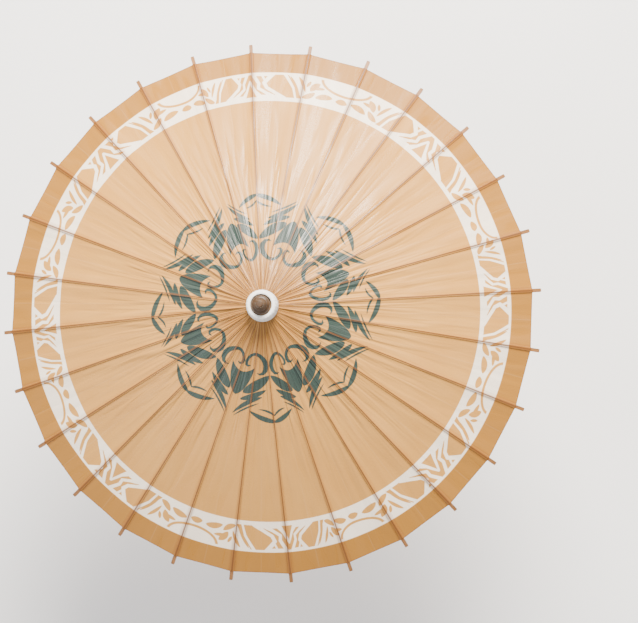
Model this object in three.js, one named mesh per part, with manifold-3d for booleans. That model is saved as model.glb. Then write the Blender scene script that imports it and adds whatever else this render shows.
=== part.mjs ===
// Oil paper umbrella, drawn open and upright, in millimetres with +Z up.
// The origin is the centre of the grip. Every piece is a solid of its own.
import * as THREE from 'three';
import { mergeVertices } from 'three/addons/utils/BufferGeometryUtils.js';
import Module from 'manifold-3d';

const wasm = await Module();
wasm.setup();

// Driving dimensions.
const RIBS = 28; // bamboo ribs round the hub
const STEP = (2 * Math.PI) / RIBS;
const PIVOT_R = 17; // radius of both rings of pivots
const HUB_Z = 505; // height of the ribs' pivots
const RIB_CHORD = 424; // pivot to tip
const OPEN = THREE.MathUtils.degToRad(68); // rib's chord from straight down, open
const SAG = 5.6; // how far a rib bows outwards
const HALF_DEPTH = 1.9; // half of a rib's depth
const TONGUE = 0.8; // half width of a rib's hub tongue
const SLOT = 1.1; // half width of every slot that takes a tongue
const JOINT_S = 170; // where the stretcher meets the rib
const JOINT_N = bow(JOINT_S) - 0.5;
const REACH = Math.hypot(JOINT_S, JOINT_N); // stretcher's length, equal to its distance up the rib
const LINE = OPEN + Math.atan2(JOINT_N, JOINT_S); // pivot to joint, from straight down
const RUNNER_Z = HUB_Z - 2 * REACH * Math.cos(LINE);
const SHAFT_R = 6.5;
const PAPER = 0.6;
const PAPER_GAP = 0.6; // rib to paper
const PAPER_END = 411; // along the rib
const BENDS = [80, 165, 250, 340]; // where a rib's bow and the paper change direction
const CORD_R = 0.75;
const GRIP_END = -48.5;

function bow(s) {
  const t = THREE.MathUtils.clamp(s / RIB_CHORD, 0, 1);
  return 4 * SAG * t * (1 - t);
}

function material(name, color, roughness, metalness = 0, opacity = 1) {
  const made = new THREE.MeshStandardMaterial({ color, roughness, metalness });
  made.name = name;
  if (opacity < 1) {
    made.transparent = true;
    made.opacity = opacity;
  }
  return made;
}

const bamboo = material('rib_bamboo', 0xc99a5e, 0.55);
const cane = material('shaft_bamboo', 0xdcb56a, 0.45);
const pale = material('handle_wood', 0xe6cf90, 0.4);
const turned = material('turned_wood', 0xbd9868, 0.5);
const paper = material('oiled_paper', 0xe0bf95, 0.35);
const cloth = material('collar_cloth', 0xf1efec, 0.8);
const thread = material('lacing_thread', 0x8a5a34, 0.9);
const string = material('tassel_cord', 0xc9913f, 0.7);
const silk = material('tassel_silk', 0xf0c24c, 0.5);
const gilt = material('gilt_band', 0xc98f2e, 0.3, 0.8);
const pearl = material('pearl_bead', 0xf2eef0, 0.2);
const crystal = material('crystal_bead', 0xeef2f2, 0.05, 0, 0.45);

function welded(geometry) {
  geometry.deleteAttribute('normal');
  geometry.deleteAttribute('uv');
  const g = mergeVertices(geometry, 1e-4);
  const kept = [];
  for (let i = 0; i < g.index.count; i += 3) {
    const [a, b, c] = [g.index.getX(i), g.index.getX(i + 1), g.index.getX(i + 2)];
    if (a !== b && b !== c && c !== a) {
      kept.push(a, b, c);
    }
  }
  g.setIndex(kept);
  return g;
}

function volume(g) {
  const p = g.getAttribute('position');
  const [a, b, c] = [new THREE.Vector3(), new THREE.Vector3(), new THREE.Vector3()];
  let sum = 0;
  for (let i = 0; i < g.index.count; i += 3) {
    a.fromBufferAttribute(p, g.index.getX(i));
    b.fromBufferAttribute(p, g.index.getX(i + 1));
    c.fromBufferAttribute(p, g.index.getX(i + 2));
    sum += a.dot(b.cross(c));
  }
  return sum / 6;
}

function outward(g) {
  if (volume(g) < 0) {
    g.setIndex(Array.from(g.index.array).reverse());
  }
  return g;
}

// A closed solid through rings of points. Rings that come back to the first need no ends.
function loft(rings, cyclic = false) {
  const n = rings[0].length;
  const points = rings.flat().flatMap((v) => [v.x, v.y, v.z]);
  const faces = [];
  const spans = cyclic ? rings.length : rings.length - 1;
  for (let i = 0; i < spans; i += 1) {
    const [p, q] = [i * n, ((i + 1) % rings.length) * n];
    for (let j = 0; j < n; j += 1) {
      const k = (j + 1) % n;
      faces.push(p + j, p + k, q + j, q + j, p + k, q + k);
    }
  }
  if (!cyclic) {
    const last = (rings.length - 1) * n;
    for (let j = 1; j < n - 1; j += 1) {
      faces.push(0, j + 1, j, last, last + j, last + j + 1);
    }
  }
  const g = new THREE.BufferGeometry();
  g.setAttribute('position', new THREE.Float32BufferAttribute(points, 3));
  g.setIndex(faces);
  return outward(welded(g));
}

// A turned shape about Z from [radius, height] pairs.
function lathe(profile, sides, closed = false) {
  const pairs = closed ? [...profile, profile[0]] : profile;
  const points = pairs.map(([r, z]) => new THREE.Vector2(r, z));
  const g = new THREE.LatheGeometry(points, sides);
  g.rotateX(Math.PI / 2);
  return outward(welded(g));
}

function box(x0, x1, y0, y1, z0, z1) {
  const g = new THREE.BoxGeometry(x1 - x0, y1 - y0, z1 - z0);
  g.translate((x0 + x1) / 2, (y0 + y1) / 2, (z0 + z1) / 2);
  return outward(welded(g));
}

// A round bar along Y, centred on x, z.
function crossbar(x, z, r, half) {
  const g = new THREE.CylinderGeometry(r, r, 2 * half, 6);
  g.translate(x, 0, z);
  return outward(welded(g));
}

function solid(g) {
  const p = g.getAttribute('position');
  const mesh = new wasm.Mesh({
    numProp: 3,
    vertProperties: new Float32Array(p.array),
    triVerts: new Uint32Array(g.index.array),
  });
  return new wasm.Manifold(mesh);
}

function geometry(made) {
  const mesh = made.getMesh();
  const g = new THREE.BufferGeometry();
  g.setAttribute('position', new THREE.BufferAttribute(new Float32Array(mesh.vertProperties), 3));
  g.setIndex(Array.from(mesh.triVerts));
  return welded(g);
}

function cut(body, tools) {
  const left = tools.reduce((rest, tool) => rest.subtract(solid(tool)), solid(body));
  return geometry(left);
}

const umbrella = new THREE.Group();
umbrella.name = 'oil_paper_umbrella';

function add(name, g, look) {
  const shape = g.index ? g.toNonIndexed() : g;
  shape.computeVertexNormals();
  const mesh = new THREE.Mesh(shape, look);
  mesh.name = name;
  umbrella.add(mesh);
}

const two = (k) => String(k).padStart(2, '0');

// A bar along X whose stations are [x, half width, centre height, half depth].
function bar(stations) {
  return loft(
    stations.map(([x, w, z, h]) => [
      new THREE.Vector3(x, -w, z - h),
      new THREE.Vector3(x, w, z - h),
      new THREE.Vector3(x, w, z + h),
      new THREE.Vector3(x, -w, z + h),
    ]),
  );
}

// Rib, in its own frame: X from pivot to tip, Z outwards. The tongue turns in the hub's
// slot, and a slot in its inner face takes the stretcher's tongue on a cross pin.
function ribShape() {
  const width = (s) => THREE.MathUtils.mapLinear(s, 13, 426, 1.2, 2.7);
  const stations = [
    [-2.4, TONGUE, 0, 0.9],
    [-1.4, TONGUE, 0, HALF_DEPTH],
    [12, TONGUE, bow(12), HALF_DEPTH],
  ];
  for (const s of [13, ...BENDS, 424]) {
    stations.push([s, width(s), bow(s), HALF_DEPTH]);
  }
  stations.push([426, 2.3, 0, 1.4]);
  const slot = box(JOINT_S - 6.5, JOINT_S + 14.5, -SLOT, SLOT, -2, JOINT_N + 1.55);
  const eye = crossbar(0, 0, 0.9, 2);
  const open = solid(cut(bar(stations), [slot, eye]));
  const pin = solid(crossbar(JOINT_S, JOINT_N, 0.6, SLOT + 0.3));
  return geometry(open.add(pin));
}

// Stretcher, in its own frame: X from the rib's joint to the runner's pivot.
function stretcherShape() {
  const tongue = 0.75;
  const stations = [
    [-1.2, tongue, 0, 0.7],
    [-0.5, tongue, 0, 1.2],
    [17, tongue, 0, 1.4],
    [18, 1.5, 0, 1.4],
    [REACH - 18, 1.5, 0, 1.4],
    [REACH - 17, tongue, 0, 1.6],
    [REACH + 1.2, tongue, 0, 1.6],
    [REACH + 2, tongue, 0, 0.8],
  ];
  return cut(bar(stations), [crossbar(0, 0, 0.9, 2), crossbar(REACH, 0, 0.9, 2)]);
}

// Moves a shape from its own frame to the pivot at radius r and height z, leaning
// by angle from straight down, and then round to its place.
function placed(shape, r, z, angle, turn) {
  const g = shape.clone();
  g.rotateY(Math.PI / 2 - angle);
  g.translate(r, 0, z);
  g.rotateZ(turn);
  return g;
}

const rib = ribShape();
const stretcher = stretcherShape();
const jointR = PIVOT_R + REACH * Math.sin(LINE);
const jointZ = HUB_Z - REACH * Math.cos(LINE);
for (let k = 0; k < RIBS; k += 1) {
  add(`rib_${two(k + 1)}`, placed(rib, PIVOT_R, HUB_Z, OPEN, k * STEP), bamboo);
}
for (let k = 0; k < RIBS; k += 2) {
  const back = placed(stretcher, jointR, jointZ, -LINE, k * STEP);
  add(`stretcher_${two(k + 1)}`, back, bamboo);
}

// Slotted rings: the hub's slots open below and the runner's above.
function slots(z0, z1) {
  const one = box(12.5, 25, -SLOT, SLOT, z0, z1);
  const all = [];
  for (let k = 0; k < RIBS; k += 1) {
    all.push(one.clone().rotateZ(k * STEP));
  }
  return all;
}

function groove(z) {
  return lathe([[16.1, z - 0.9], [24, z - 0.9], [24, z + 0.9], [16.1, z + 0.9]], RIBS, true);
}

const hubBlank = lathe(
  [[6.8, HUB_Z - 8], [19, HUB_Z - 8], [19, 529.5], [17.5, 531], [6.8, 531]],
  RIBS,
  true,
);
add('hub', cut(hubBlank, [...slots(HUB_Z - 20, HUB_Z + 7), groove(HUB_Z)]), turned);

const R = RUNNER_Z;
const runnerBlank = lathe(
  [
    [7, R - 35], [12.4, R - 35], [10.4, R - 28], [10.4, R - 14], [19, R - 8],
    [19, R + 7], [7, R + 7],
  ],
  RIBS,
  true,
);
add('runner', cut(runnerBlank, [...slots(R - 4.5, R + 20), groove(R)]), turned);

// The threads that the ribs and stretchers turn on.
function lacing(z) {
  const g = new THREE.TorusGeometry(PIVOT_R, 0.6, 5, RIBS);
  g.translate(0, 0, z);
  return outward(welded(g));
}

add('hub_lacing', lacing(HUB_Z), thread);
add('runner_lacing', lacing(RUNNER_Z), thread);

// Shaft with a tenon for the finial and a slot for the catch.
const shaftBlank = lathe(
  [[0, -22], [SHAFT_R, -22], [SHAFT_R, 534.2], [4, 534.2], [4, 550], [3.4, 550.5], [0, 550.5]],
  24,
);
const catchFoot = 322;
const catchTop = RUNNER_Z - 36;
add('shaft', cut(shaftBlank, [box(2.2, 9, -1.5, 1.5, catchFoot - 2.4, catchTop + 0.6)]), cane);

// The catch, drawn pressed in. It turns about its foot to stand out under the runner.
function catchShape() {
  const outline = [
    [-1.4, -0.8], [-0.8, -1.4], [0.8, -1.4], [1.4, -0.8],
    [1.7, 6], [1.7, catchTop - catchFoot], [-0.4, catchTop - catchFoot], [-1.4, 6],
  ];
  const side = (y) => outline.map(([x, z]) => new THREE.Vector3(4.5 + x, y, catchFoot + z));
  return loft([side(-1.1), side(1.1)]);
}

add('catch', catchShape(), bamboo);

// Grip, and its end cap with a hole for the tassel's cord.
const gripOutline = [
  [6.8, -36], [12.8, -36], [12.2, -31], [10.8, -23.3], [10, -11.4], [9.6, 4], [9.7, 18],
  [10.6, 30], [12.4, 42], [12.1, 46.2], [8.6, 48.5], [6.8, 48.5],
];
add('handle', lathe(gripOutline, 28, true), pale);
const capOutline = [
  [4, GRIP_END], [9.6, GRIP_END], [11.9, -47.2], [12.8, -44], [12.8, -36.3], [6.4, -36.3],
  [6.4, -24], [1.6, -24], [1.6, -45.5],
];
add('handle_cap', lathe(capOutline, 28, true), pale);

// Collar over the hub, and the turned finial on the shaft's tenon.
const collarOutline = [
  [21.8, 507.2], [23.2, 507.2], [23.1, 517], [21.9, 531], [20.2, 535.2], [17.8, 536.3],
  [9, 536.3], [9, 534.6], [18, 534.6], [20.4, 531], [21.7, 517],
];
add('collar', lathe(collarOutline, 32, true), cloth);
const finialOutline = [
  [0, 551], [4.3, 551], [4.3, 536.6], [13.8, 536.6], [13.8, 538.8], [12.4, 541.2],
  [9, 543], [9.6, 544.2], [9.6, 547.4], [5.4, 554.2], [5, 563.4], [4.4, 564.4], [0, 564.4],
];
add('finial', lathe(finialOutline, 28), turned);

// Paper canopy: flat between neighbouring ribs but for a shallow valley.
function paperPoint(s, lift, column) {
  const n = bow(s) + HALF_DEPTH + PAPER_GAP + lift;
  const r = PIVOT_R + s * Math.sin(OPEN) + n * Math.cos(OPEN);
  const z = HUB_Z - s * Math.cos(OPEN) + n * Math.sin(OPEN);
  const between = column % 2 === 1;
  const turn = (column * STEP) / 2;
  const flat = between ? r * Math.cos(STEP / 2) : r;
  const valley = between ? (1.5 * s) / PAPER_END : 0;
  return new THREE.Vector3(flat * Math.cos(turn), flat * Math.sin(turn), z - valley);
}

function canopyShape() {
  const stations = [2.65, ...BENDS, PAPER_END];
  const rings = [];
  for (let column = 0; column < 2 * RIBS; column += 1) {
    const under = stations.map((s) => paperPoint(s, 0, column));
    const over = stations.map((s) => paperPoint(s, PAPER, column));
    rings.push([...under, ...over.reverse()]);
  }
  return loft(rings, true);
}

add('canopy', canopyShape(), paper);

// Tassel: cord, beads, head, binding and skirt, hanging from the cap.
const CORD_END = -195;
const cordRing = (z) => {
  const ring = [];
  for (let i = 0; i < 8; i += 1) {
    const a = (i * Math.PI) / 4;
    ring.push(new THREE.Vector3(CORD_R * Math.cos(a), CORD_R * Math.sin(a), z));
  }
  return ring;
};
add('tassel_cord', loft([-46.5, -80, -120, -160, CORD_END].map(cordRing)), string);

function bead(z, radius) {
  const hole = 1.1;
  const profile = [];
  const from = Math.asin(hole / radius);
  for (let i = 0; i <= 7; i += 1) {
    const a = from + ((Math.PI - 2 * from) * i) / 7;
    profile.push([radius * Math.sin(a), z + radius * Math.cos(a)]);
  }
  return lathe(profile, 16, true);
}

add('bead_upper', bead(-102.5, 3.95), pearl);
const stone = [[1.1, -110.7], [2.2, -110.7], [4.4, -115.5], [5, -119.6], [3, -124.3], [1.1, -124.3]];
add('bead_crystal', lathe(stone, 8, true), crystal);
add('bead_lower', bead(-132, 3.5), pearl);
const headOutline = [
  [1.1, -137.5], [2.4, -137.7], [3.8, -139.6], [3.6, -142], [2.9, -142.2],
  [2.9, -151.2], [1.1, -151.2],
];
add('tassel_head', lathe(headOutline, 16, true), silk);
const bindingOutline = [[3.3, -142.4], [3.9, -142.4], [3.9, -151], [3.3, -151]];
add('tassel_binding', lathe(bindingOutline, 16, true), gilt);
const skirtOutline = [
  [0, -197], [1.2, -197], [1.2, -151.5], [3.6, -151.5], [5.4, -160], [8.6, -178],
  [15.8, -224], [18, -240], [17, -243.4], [0, -244.5],
];
add('tassel_skirt', lathe(skirtOutline, 20), silk);

export default umbrella;
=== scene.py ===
import math
import random

import bmesh
import bpy
from mathutils import Matrix, Vector, noise


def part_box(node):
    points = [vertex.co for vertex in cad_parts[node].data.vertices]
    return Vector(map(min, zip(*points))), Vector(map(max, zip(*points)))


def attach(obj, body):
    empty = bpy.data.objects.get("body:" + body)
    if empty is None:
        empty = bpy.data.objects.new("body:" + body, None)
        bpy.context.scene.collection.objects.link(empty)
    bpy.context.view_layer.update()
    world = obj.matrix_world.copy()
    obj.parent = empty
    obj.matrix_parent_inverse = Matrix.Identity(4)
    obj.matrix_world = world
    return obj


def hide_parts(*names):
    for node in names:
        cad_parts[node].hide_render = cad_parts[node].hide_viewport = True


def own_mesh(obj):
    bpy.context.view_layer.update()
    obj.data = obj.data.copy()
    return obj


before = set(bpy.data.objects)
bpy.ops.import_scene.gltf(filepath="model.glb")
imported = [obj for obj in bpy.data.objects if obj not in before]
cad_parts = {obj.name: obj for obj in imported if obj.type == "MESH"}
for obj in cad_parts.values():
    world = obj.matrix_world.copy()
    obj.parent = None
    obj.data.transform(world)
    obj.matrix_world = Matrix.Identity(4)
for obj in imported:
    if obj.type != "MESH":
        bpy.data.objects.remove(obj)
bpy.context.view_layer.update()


# --- Camera -------------------------------------------------------------------
# It looks down on the open canopy from a little to one side of the shaft, with
# a long lens, and the umbrella stands left of the middle.
UP_TURN = math.radians(85.6)  # the azimuth that points up in the view
LEAN = math.radians(4.2)  # how far the view leans off the shaft
DISTANCE = 3.0
VIEW_WIDTH = 0.974  # across the view at the rim
RIM_Z = 0.346
ASIDE = 0.0735  # how far right of the shaft the view is aimed
view_up = Vector((math.cos(UP_TURN), math.sin(UP_TURN), 0))
view_right = Vector((math.sin(UP_TURN), -math.cos(UP_TURN), 0))
view_back = Vector((0, 0, math.cos(LEAN))) + (view_right - view_up) * math.sin(LEAN) / math.sqrt(2)
view_back.normalize()
aim = Vector((0, 0, RIM_Z)) + view_right * ASIDE
lens = bpy.data.cameras.new("camera")
lens.sensor_width = 36
lens.lens = 36 * DISTANCE / VIEW_WIDTH
lens.clip_end = 50
camera = bpy.data.objects.new("camera", lens)
side = view_up.cross(view_back).normalized()
turn = Matrix((side, view_back.cross(side), view_back)).transposed().to_4x4()
camera.matrix_world = Matrix.Translation(aim + view_back * DISTANCE) @ turn
bpy.context.scene.collection.objects.link(camera)
bpy.context.scene.camera = camera


# --- Tassel cord --------------------------------------------------------------
# A twisted rayon cord knotted inside the grip's end cap. It hangs down through
# two pearl beads and a faceted stone, and its tail ends among the tassel's threads.
CORD_RADIUS = 0.00075
CORD_EXIT_Z = -0.0485
CORD_END_Z = -0.195
CORD_LENGTH = CORD_EXIT_Z - CORD_END_Z
CORD_STEPS = 30
CORD_SWAY = 0.0004  # how far it strays off the straight


def fresh_material(name):
    """A new material, its node tree and its Principled shader."""
    made = bpy.data.materials.new(name)
    made.use_nodes = True
    return made, made.node_tree, made.node_tree.nodes["Principled BSDF"]


def linear(code):
    """A colour written as a hex number, as the linear values that shaders take."""
    parts = [((code >> shift) & 255) / 255 for shift in (16, 8, 0)]
    return [c / 12.92 if c <= 0.04045 else ((c + 0.055) / 1.055) ** 2.4 for c in parts] + [1]


def put(tree, kind, **inputs):
    """A node, with inputs given as sockets to link or values to set."""
    made = tree.nodes.new(kind)
    for name, value in inputs.items():
        plug(tree, value, made.inputs[name.replace("_", " ")])
    return made


def settle(node, **values):
    """Sets a node's inputs to plain values, the same all over the surface."""
    for name, value in values.items():
        node.inputs[name.replace("_", " ")].default_value = value


def plug(tree, value, socket):
    if isinstance(value, bpy.types.NodeSocket):
        tree.links.new(value, socket)
    else:
        socket.default_value = value


def calc(tree, operation, *values):
    """A Math node's result."""
    made = tree.nodes.new("ShaderNodeMath")
    made.operation = operation
    for value, socket in zip(values, made.inputs):
        plug(tree, value, socket)
    return made.outputs[0]


def times(tree, first, second):
    return calc(tree, "MULTIPLY", first, second)


def minus(tree, first, second):
    return calc(tree, "SUBTRACT", first, second)


def object_place(tree):
    return tree.nodes.new("ShaderNodeTexCoord").outputs["Object"]


def specks(tree, place, scale, detail):
    """A noise that varies from place to place, with about scale lumps to the metre."""
    return put(tree, "ShaderNodeTexNoise", Vector=place, Scale=scale, Detail=detail).outputs[0]


def between(tree, share, low, high):
    """The colour between low and high at that share."""
    made = tree.nodes.new("ShaderNodeMix")
    made.data_type = "RGBA"
    plug(tree, share, made.inputs[0])
    plug(tree, low, made.inputs[6])
    plug(tree, high, made.inputs[7])
    return made.outputs[2]


def new_group(name, inputs, outputs):
    """A shader node group. Each input has its default, or None for a vector, and outputs are numbers."""
    group = bpy.data.node_groups.new(name, "ShaderNodeTree")
    for title, value in inputs.items():
        kind = "NodeSocketVector" if value is None else "NodeSocketFloat"
        socket = group.interface.new_socket(name=title, in_out="INPUT", socket_type=kind)
        if value is not None:
            socket.default_value = value
    for title in outputs:
        group.interface.new_socket(name=title, in_out="OUTPUT", socket_type="NodeSocketFloat")
    return group, group.nodes.new("NodeGroupInput").outputs, group.nodes.new("NodeGroupOutput").inputs


def use_group(tree, group, **inputs):
    made = tree.nodes.new("ShaderNodeGroup")
    made.node_tree = group
    for name, value in inputs.items():
        plug(tree, value, made.inputs[name.replace("_", " ")])
    return made.outputs


def twist_group():
    """Strands laid round a cord or thread along Z: a height, and a shade that is painted darker in the
    grooves between the strands.
    """
    group, ins, outs = new_group("twisted strands", {"Pitch": 0.002, "Strands": 3.0}, ["Height", "Shade"])
    place = object_place(group)
    xyz = put(group, "ShaderNodeSeparateXYZ", Vector=place).outputs
    around = calc(group, "DIVIDE", calc(group, "ARCTAN2", xyz[1], xyz[0]), 2 * math.pi)
    turns = calc(group, "ADD", around, calc(group, "DIVIDE", xyz[2], ins["Pitch"]))
    phase = times(group, times(group, turns, ins["Strands"]), math.pi)
    height = calc(group, "ABSOLUTE", calc(group, "SINE", phase))
    fuzz = specks(group, place, 900.0, 3.0)
    plug(group, calc(group, "MULTIPLY_ADD", fuzz, 0.3, height), outs["Height"])
    plug(group, times(group, height, calc(group, "ADD", fuzz, 0.5)), outs["Shade"])
    return group


twisted = twist_group()


def twisted_look(name, dark, light, pitch, strands, roughness):
    made, tree, shader = fresh_material(name)
    laid = use_group(tree, twisted, Pitch=pitch, Strands=strands)
    plug(tree, between(tree, laid["Shade"], linear(dark), linear(light)), shader.inputs["Base Color"])
    bump = put(tree, "ShaderNodeBump", Height=laid["Height"], Strength=0.6, Distance=0.0003)
    plug(tree, bump.outputs[0], shader.inputs["Normal"])
    settle(shader, Roughness=roughness, Sheen_Weight=0.3)
    return made


cord_look = twisted_look(
    "tassel cord", dark=0x6E400E, light=0xC08028, pitch=0.003, strands=3.0, roughness=0.55
)


def show(obj):
    bpy.context.scene.collection.objects.link(obj)
    return obj


def cord_piece():
    line = bpy.data.curves.new("tassel_string", "CURVE")
    line.dimensions = "3D"
    line.bevel_depth = CORD_RADIUS
    line.bevel_resolution = 4
    line.use_fill_caps = True
    spline = line.splines.new("POLY")
    spline.points.add(CORD_STEPS)
    for i, point in enumerate(spline.points):
        share = i / CORD_STEPS
        sway = CORD_SWAY * math.sin(3 * math.pi * share) * math.sin(math.pi * share)
        point.co = (sway, 0, CORD_EXIT_Z - CORD_LENGTH * share, 1)
    return show(bpy.data.objects.new("tassel_string", line))


tassel_string = cord_piece()
tassel_string.data.materials.append(cord_look)
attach(tassel_string, "tassel")
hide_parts("tassel_cord")


# --- Cord knot ----------------------------------------------------------------
# The overhand knot that keeps the cord in the cap's hole: the same cord taken
# twice round through itself, and pulled tight.
KNOT_Z = -0.0462
KNOT_STEPS = 60


def tube_mesh(name, paths, radius, sides):
    """One mesh of round tubes with closed ends, along lists of points."""
    verts, faces = [], []
    for path in paths:
        first = len(verts)
        for i, point in enumerate(path):
            ahead = path[min(i + 1, len(path) - 1)] - path[max(i - 1, 0)]
            across = ahead.cross(Vector((0.31, 0.92, 0.24))).normalized()
            other = ahead.cross(across).normalized()
            for j in range(sides):
                a = 2 * math.pi * j / sides
                verts.append(point + (across * math.cos(a) + other * math.sin(a)) * radius)
        for i in range(len(path) - 1):
            for j in range(sides):
                a, b = first + i * sides + j, first + i * sides + (j + 1) % sides
                faces.append((a, b, b + sides, a + sides))
        last = first + (len(path) - 1) * sides
        faces.append(tuple(reversed(range(first, first + sides))))
        faces.append(tuple(range(last, last + sides)))
    mesh = bpy.data.meshes.new(name)
    mesh.from_pydata(verts, [], faces)
    mesh.shade_smooth()
    return show(bpy.data.objects.new(name, mesh))


def knot_paths():
    path = []
    for i in range(KNOT_STEPS + 1):
        a = 4 * math.pi * i / KNOT_STEPS
        r = 0.0010 + 0.0004 * math.cos(1.5 * a)
        path.append(Vector((r * math.cos(a), r * math.sin(a), KNOT_Z + 0.0005 * math.sin(1.5 * a))))
    return [path]


cord_knot = tube_mesh("cord_knot", knot_paths(), 0.0005, 8)
cord_knot.data.materials.append(cord_look)
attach(cord_knot, "tassel")


# --- Pearl beads --------------------------------------------------------------
# Two drilled glass beads with a pearl coat, threaded on the cord one above and
# one below the faceted stone.
CORD_HOLE = 0.0011  # the radius of a bead's drilled hole
BEAD_STEPS = 24  # from hole to hole along a bead's outline


def rounded(outline, radius, steps):
    """A closed outline of [r, z] pairs with its corners rounded off."""
    made = []
    count = len(outline)
    for i, corner in enumerate(outline):
        here = Vector(corner)
        before, after = Vector(outline[i - 1]) - here, Vector(outline[(i + 1) % count]) - here
        if here.x < 1e-6:
            made.append(here)
            continue
        a = here + before.normalized() * min(radius, before.length * 0.45)
        b = here + after.normalized() * min(radius, after.length * 0.45)
        for k in range(steps + 1):
            t = k / steps
            made.append(a * (1 - t) ** 2 + here * 2 * t * (1 - t) + b * t * t)
    return made


def turned_mesh(name, outline, sides=72):
    """A shape turned about Z from a closed outline of (r, z). An outline may touch the axis."""
    rows = len(outline)
    verts = []
    for j in range(sides):
        a = 2 * math.pi * j / sides
        verts += [(p[0] * math.cos(a), p[0] * math.sin(a), p[1]) for p in outline]
    faces = []
    for j in range(sides):
        for i in range(rows):
            k, n = (i + 1) % rows, (j + 1) % sides
            if outline[i][0] < 1e-9 and outline[k][0] < 1e-9:
                continue
            faces.append((j * rows + i, n * rows + i, n * rows + k, j * rows + k))
    mesh = bpy.data.meshes.new(name)
    mesh.from_pydata(verts, [], faces)
    obj = show(bpy.data.objects.new(name, mesh))
    tidy_mesh(mesh, 40)
    return obj


def tidy_mesh(mesh, crease):
    """Merges doubled points, turns the faces outwards and shades smooth but for creases."""
    work = bmesh.new()
    work.from_mesh(mesh)
    bmesh.ops.remove_doubles(work, verts=work.verts, dist=1e-6)
    bmesh.ops.dissolve_degenerate(work, edges=work.edges, dist=1e-7)
    bmesh.ops.recalc_face_normals(work, faces=work.faces)
    work.to_mesh(mesh)
    work.free()
    mesh.shade_smooth()
    mesh.set_sharp_from_angle(angle=math.radians(crease))


def pearl_look():
    made, tree, shader = fresh_material("pearl coat")
    place = object_place(tree)
    cloud = specks(tree, place, 350.0, 4.0)
    tint = between(tree, cloud, linear(0xF7F3F2), linear(0xDAD4E2))
    plug(tree, tint, shader.inputs["Base Color"])
    plug(tree, calc(tree, "MULTIPLY_ADD", cloud, 0.2, 0.12), shader.inputs["Roughness"])
    settle(shader, Coat_Weight=0.8)
    return made


def bead(name, node, z, radius):
    start = math.asin(CORD_HOLE / radius)
    outline = []
    for i in range(BEAD_STEPS + 1):
        a = start + (math.pi - 2 * start) * i / BEAD_STEPS
        outline.append((radius * math.sin(a), z + radius * math.cos(a)))
    made = turned_mesh(name, outline, 40)
    made.data.materials.append(pearl)
    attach(made, "tassel")
    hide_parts(node)
    return made


pearl = pearl_look()
pearl_upper = bead("pearl_upper", "bead_upper", -0.1025, 0.00395)
pearl_lower = bead("pearl_lower", "bead_lower", -0.132, 0.0035)


# --- Faceted stone ------------------------------------------------------------
# A clear cut bead between the pearls, a tapered drop with flat facets and a
# drilled hole.
STONE_SIDES = 7
STONE_OUTLINE = [
    (CORD_HOLE, -0.1107), (0.0022, -0.1107), (0.0042, -0.1152),
    (0.0050, -0.1192), (0.0030, -0.1243), (CORD_HOLE, -0.1243),
]


def stone_mesh():
    sides, rows = STONE_SIDES, len(STONE_OUTLINE)
    verts, faces = [], []
    for row, (r, z) in enumerate(STONE_OUTLINE):
        for j in range(sides):
            a = 2 * math.pi * (j + 0.5 * (row in (2, 4))) / sides
            verts.append((r * math.cos(a), r * math.sin(a), z))
    for i in range(rows):
        k = (i + 1) % rows
        for j in range(sides):
            n = (j + 1) % sides
            faces.append((i * sides + j, i * sides + n, k * sides + j))
            faces.append((i * sides + n, k * sides + n, k * sides + j))
    mesh = bpy.data.meshes.new("stone_clear")
    mesh.from_pydata(verts, [], faces)
    obj = show(bpy.data.objects.new("stone_clear", mesh))
    tidy_mesh(mesh, 5)
    return obj


def stone_look():
    made, tree, shader = fresh_material("clear stone")
    place = object_place(tree)
    veil = specks(tree, place, 260.0, 3.0)
    plug(tree, between(tree, veil, linear(0xFFFFFF), linear(0xDDE6E8)), shader.inputs["Base Color"])
    plug(tree, times(tree, veil, 0.12), shader.inputs["Roughness"])
    settle(shader, Transmission_Weight=0.85, IOR=1.52)
    return made


stone = stone_mesh()
stone.data.materials.append(stone_look())
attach(stone, "tassel")
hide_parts("bead_crystal")


# --- Tassel -------------------------------------------------------------------
# Yellow floss tied into a knob, bound with gilt thread, and left to fall in a
# skirt that widens to its uneven, darker ends.
SKIRT_TOP = -0.1516
SKIRT_END = -0.2435
SKIRT_UNEVEN = 0.0045  # how much shorter the shortest thread is
SKIRT_ROWS = [(1.0, 80), (0.86, 66), (0.68, 50), (0.45, 30)]  # share of the radius, and threads
SKIRT_STEPS = 18
SKIRT_THREAD = 0.00045
KNOB_THREADS = 30
KNOB_THREAD = 0.00042
KNOB_OUTLINE = [
    (2.9, -151.2), (3.0, -146), (3.3, -142.4), (3.75, -141), (3.7, -139.4), (2.9, -138.1), (1.6, -137.7),
]
BINDING_RADIUS = 0.00372
BINDING_TOP = -0.1426
BINDING_HEIGHT = 0.0082
BINDING_TURNS = 13
BINDING_STEPS = 28  # to each turn
BINDING_THREAD = 0.00034


def skirt_radius(share):
    return 0.0030 + 0.0140 * share**0.85


def skirt_paths():
    """Threads from the binding down, in rings of growing radius."""
    draw = random.Random(7)
    paths = []
    for depth, count in SKIRT_ROWS:
        for i in range(count):
            a = 2 * math.pi * (i + 0.7 * draw.random()) / count
            end = SKIRT_END + SKIRT_UNEVEN * draw.random()
            drift = draw.uniform(-0.12, 0.12)
            wave = draw.uniform(0, 2 * math.pi)
            path = []
            for k in range(SKIRT_STEPS + 1):
                t = k / SKIRT_STEPS
                loose = t * t
                r = depth * skirt_radius(t) * (1 - 0.06 * loose + 0.06 * loose * math.sin(wave + 23 * t))
                around = a + drift * t + 0.16 * loose * math.sin(1.7 * wave + 19 * t)
                z = SKIRT_TOP + (end - SKIRT_TOP) * t
                path.append(Vector((r * math.cos(around), r * math.sin(around), z)))
            paths.append(path)
    return paths


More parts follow.
